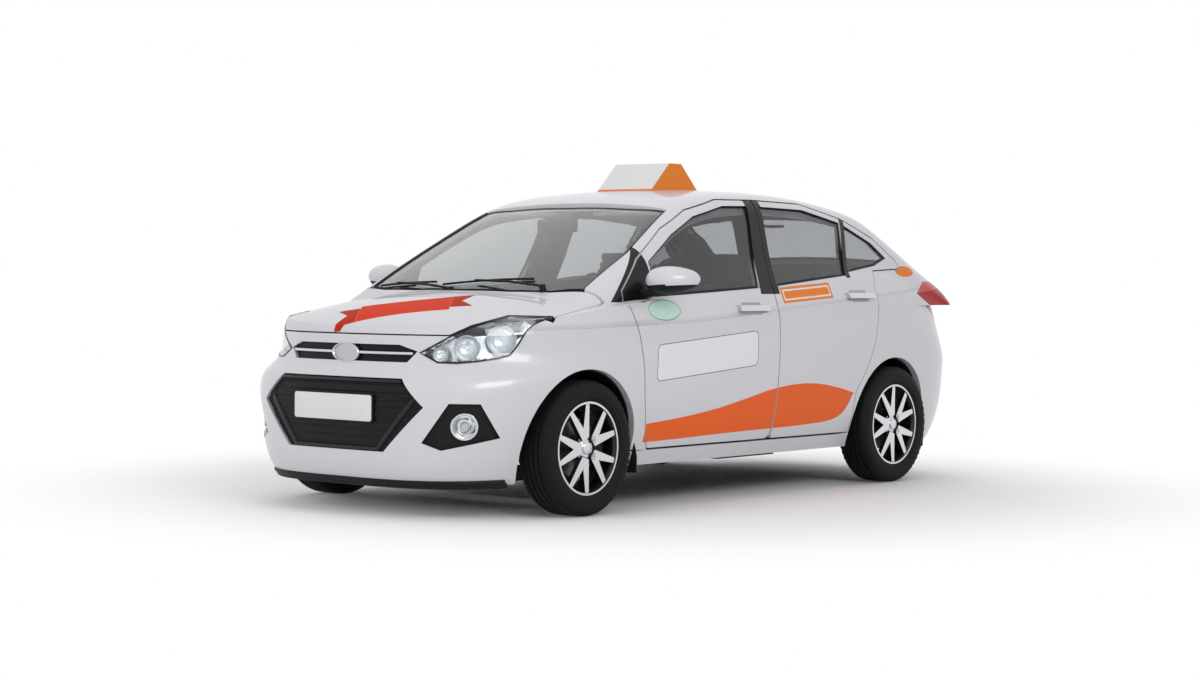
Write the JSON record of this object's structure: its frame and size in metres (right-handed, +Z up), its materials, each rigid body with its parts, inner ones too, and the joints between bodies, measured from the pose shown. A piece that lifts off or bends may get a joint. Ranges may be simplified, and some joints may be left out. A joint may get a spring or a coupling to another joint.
{
  "type": "taxi cab",
  "caption": "Small four-door saloon taxi cab with a roof sign; its doors, bonnet and boot lid open, the front wheels steer and every wheel rolls.",
  "frame": {"origin": "on the ground under the middle of the car, at half its length and width", "axes": "+X forward, +Y to the driver's side (the car's left), +Z up"},
  "size_m": [3.9929, 2.0152, 1.596],
  "materials": {
    "paint": "glossy",
    "glass_clear": "clear",
    "glass_dark": "dark tint",
    "black_plastic": "grained",
    "trim_plastic": "soft grain",
    "chrome": "polished",
    "tyre": "matt",
    "alloy": "machined and dark painted",
    "steel": "dark",
    "exhaust_steel": "dull",
    "cloth": "woven",
    "lamp_clear": "clear lens",
    "lamp_red": "red lens",
    "sign": "white and orange"
  },
  "bodies": {
    "shell": {"roof_panel": "paint", "front_bumper": "paint", "rear_bumper": "paint", "sills": "paint", "front_fenders": "paint", "quarters": "paint", "a_pillars": "paint", "windscreen": "glass_clear", "rear_window": "glass_clear", "front_lamps": "lamp_clear", "tail_lamps": "lamp_red", "grilles": "black_plastic", "wheel_liners": "black_plastic", "b_pillars": "trim_plastic", "dashboard": "trim_plastic", "rear_bulkhead": "trim_plastic", "seat_bases": "trim_plastic", "front_frame": "steel", "floor_pan": "steel", "firewall": "steel", "engine_block": "steel", "front_suspension": "steel", "rear_axle": "steel", "fuel_tank": "steel", "exhaust": "exhaust_steel", "taxi_sign": "sign", "seat_cushions": "cloth", "seat_backs": "cloth", "head_rests": "cloth", "rear_bench": "cloth", "rear_seat_back": "cloth"},
    "wheel_front_left": {"tyre_front_left": "tyre", "rim_front_left": "alloy"},
    "wheel_front_right": {"tyre_front_right": "tyre", "rim_front_right": "alloy"},
    "wheel_rear_left": {"tyre_rear_left": "tyre", "rim_rear_left": "alloy"},
    "wheel_rear_right": {"tyre_rear_right": "tyre", "rim_rear_right": "alloy"},
    "front_door_left": {"door_front_left": "paint", "door_glass_front_left": "glass_dark", "handle_front_left": "chrome", "mirror_left": "paint"},
    "rear_door_left": {"door_rear_left": "paint", "door_glass_rear_left": "glass_dark", "handle_rear_left": "chrome"},
    "steering_knuckle_left": {"knuckle_left": "steel"},
    "front_door_right": {"door_front_right": "paint", "door_glass_front_right": "glass_dark", "handle_front_right": "chrome", "mirror_right": "paint"},
    "rear_door_right": {"door_rear_right": "paint", "door_glass_rear_right": "glass_dark", "handle_rear_right": "chrome"},
    "steering_knuckle_right": {"knuckle_right": "steel"},
    "bonnet_body": {"bonnet": "paint"},
    "boot_lid_body": {"boot_lid": "paint"},
    "hand_wheel": {"steering_wheel": "black_plastic"}
  },
  "joints": [
    {"name": "steer_left", "type": "hinge", "parent": "shell", "child": "steering_knuckle_left", "pos_m": [1.2625, 0.6585, 0.295], "axis": [0, -0.1736, 0.9848], "range_deg": [-35, 35]},
    {"name": "steer_right", "type": "hinge", "parent": "shell", "child": "steering_knuckle_right", "pos_m": [1.2625, -0.6585, 0.295], "axis": [0, 0.1736, 0.9848], "range_deg": [-35, 35]},
    {"name": "roll_front_left", "type": "hinge", "parent": "steering_knuckle_left", "child": "wheel_front_left", "pos_m": [1.2625, 0.7395, 0.295], "axis": [0, 1, 0], "continuous": true},
    {"name": "roll_front_right", "type": "hinge", "parent": "steering_knuckle_right", "child": "wheel_front_right", "pos_m": [1.2625, -0.7395, 0.295], "axis": [0, 1, 0], "continuous": true},
    {"name": "roll_rear_left", "type": "hinge", "parent": "shell", "child": "wheel_rear_left", "pos_m": [-1.1625, 0.7465, 0.295], "axis": [0, 1, 0], "continuous": true},
    {"name": "roll_rear_right", "type": "hinge", "parent": "shell", "child": "wheel_rear_right", "pos_m": [-1.1625, -0.7465, 0.295], "axis": [0, 1, 0], "continuous": true},
    {"name": "front_door_left_hinge", "type": "hinge", "parent": "shell", "child": "front_door_left", "pos_m": [0.97478, 0.83, 0.6], "axis": [0, 0, -1], "range_deg": [0, 70]},
    {"name": "front_door_right_hinge", "type": "hinge", "parent": "shell", "child": "front_door_right", "pos_m": [0.97478, -0.83, 0.6], "axis": [0, 0, 1], "range_deg": [0, 70]},
    {"name": "rear_door_left_hinge", "type": "hinge", "parent": "shell", "child": "rear_door_left", "pos_m": [-0.09988, 0.83, 0.6], "axis": [0, 0, -1], "range_deg": [0, 68]},
    {"name": "rear_door_right_hinge", "type": "hinge", "parent": "shell", "child": "rear_door_right", "pos_m": [-0.09988, -0.83, 0.6], "axis": [0, 0, 1], "range_deg": [0, 68]},
    {"name": "bonnet_hinge", "type": "hinge", "parent": "shell", "child": "bonnet_body", "pos_m": [1.07, 0, 0.955], "axis": [0, -1, 0], "range_deg": [0, 50]},
    {"name": "boot_lid_hinge", "type": "hinge", "parent": "shell", "child": "boot_lid_body", "pos_m": [-1.5, 0, 1.12], "axis": [0, 1, 0], "range_deg": [0, 70]},
    {"name": "hand_wheel_turn", "type": "hinge", "parent": "shell", "child": "hand_wheel", "pos_m": [0.47, 0.37, 0.915], "axis": [-0.9135, 0, 0.4067], "range_deg": [-540, 540]}
  ],
  "couplings": [
    {"joint": "steer_right", "follows": "steer_left", "ratio": 1},
    {"joint": "hand_wheel_turn", "follows": "steer_left", "ratio": 15}
  ]
}
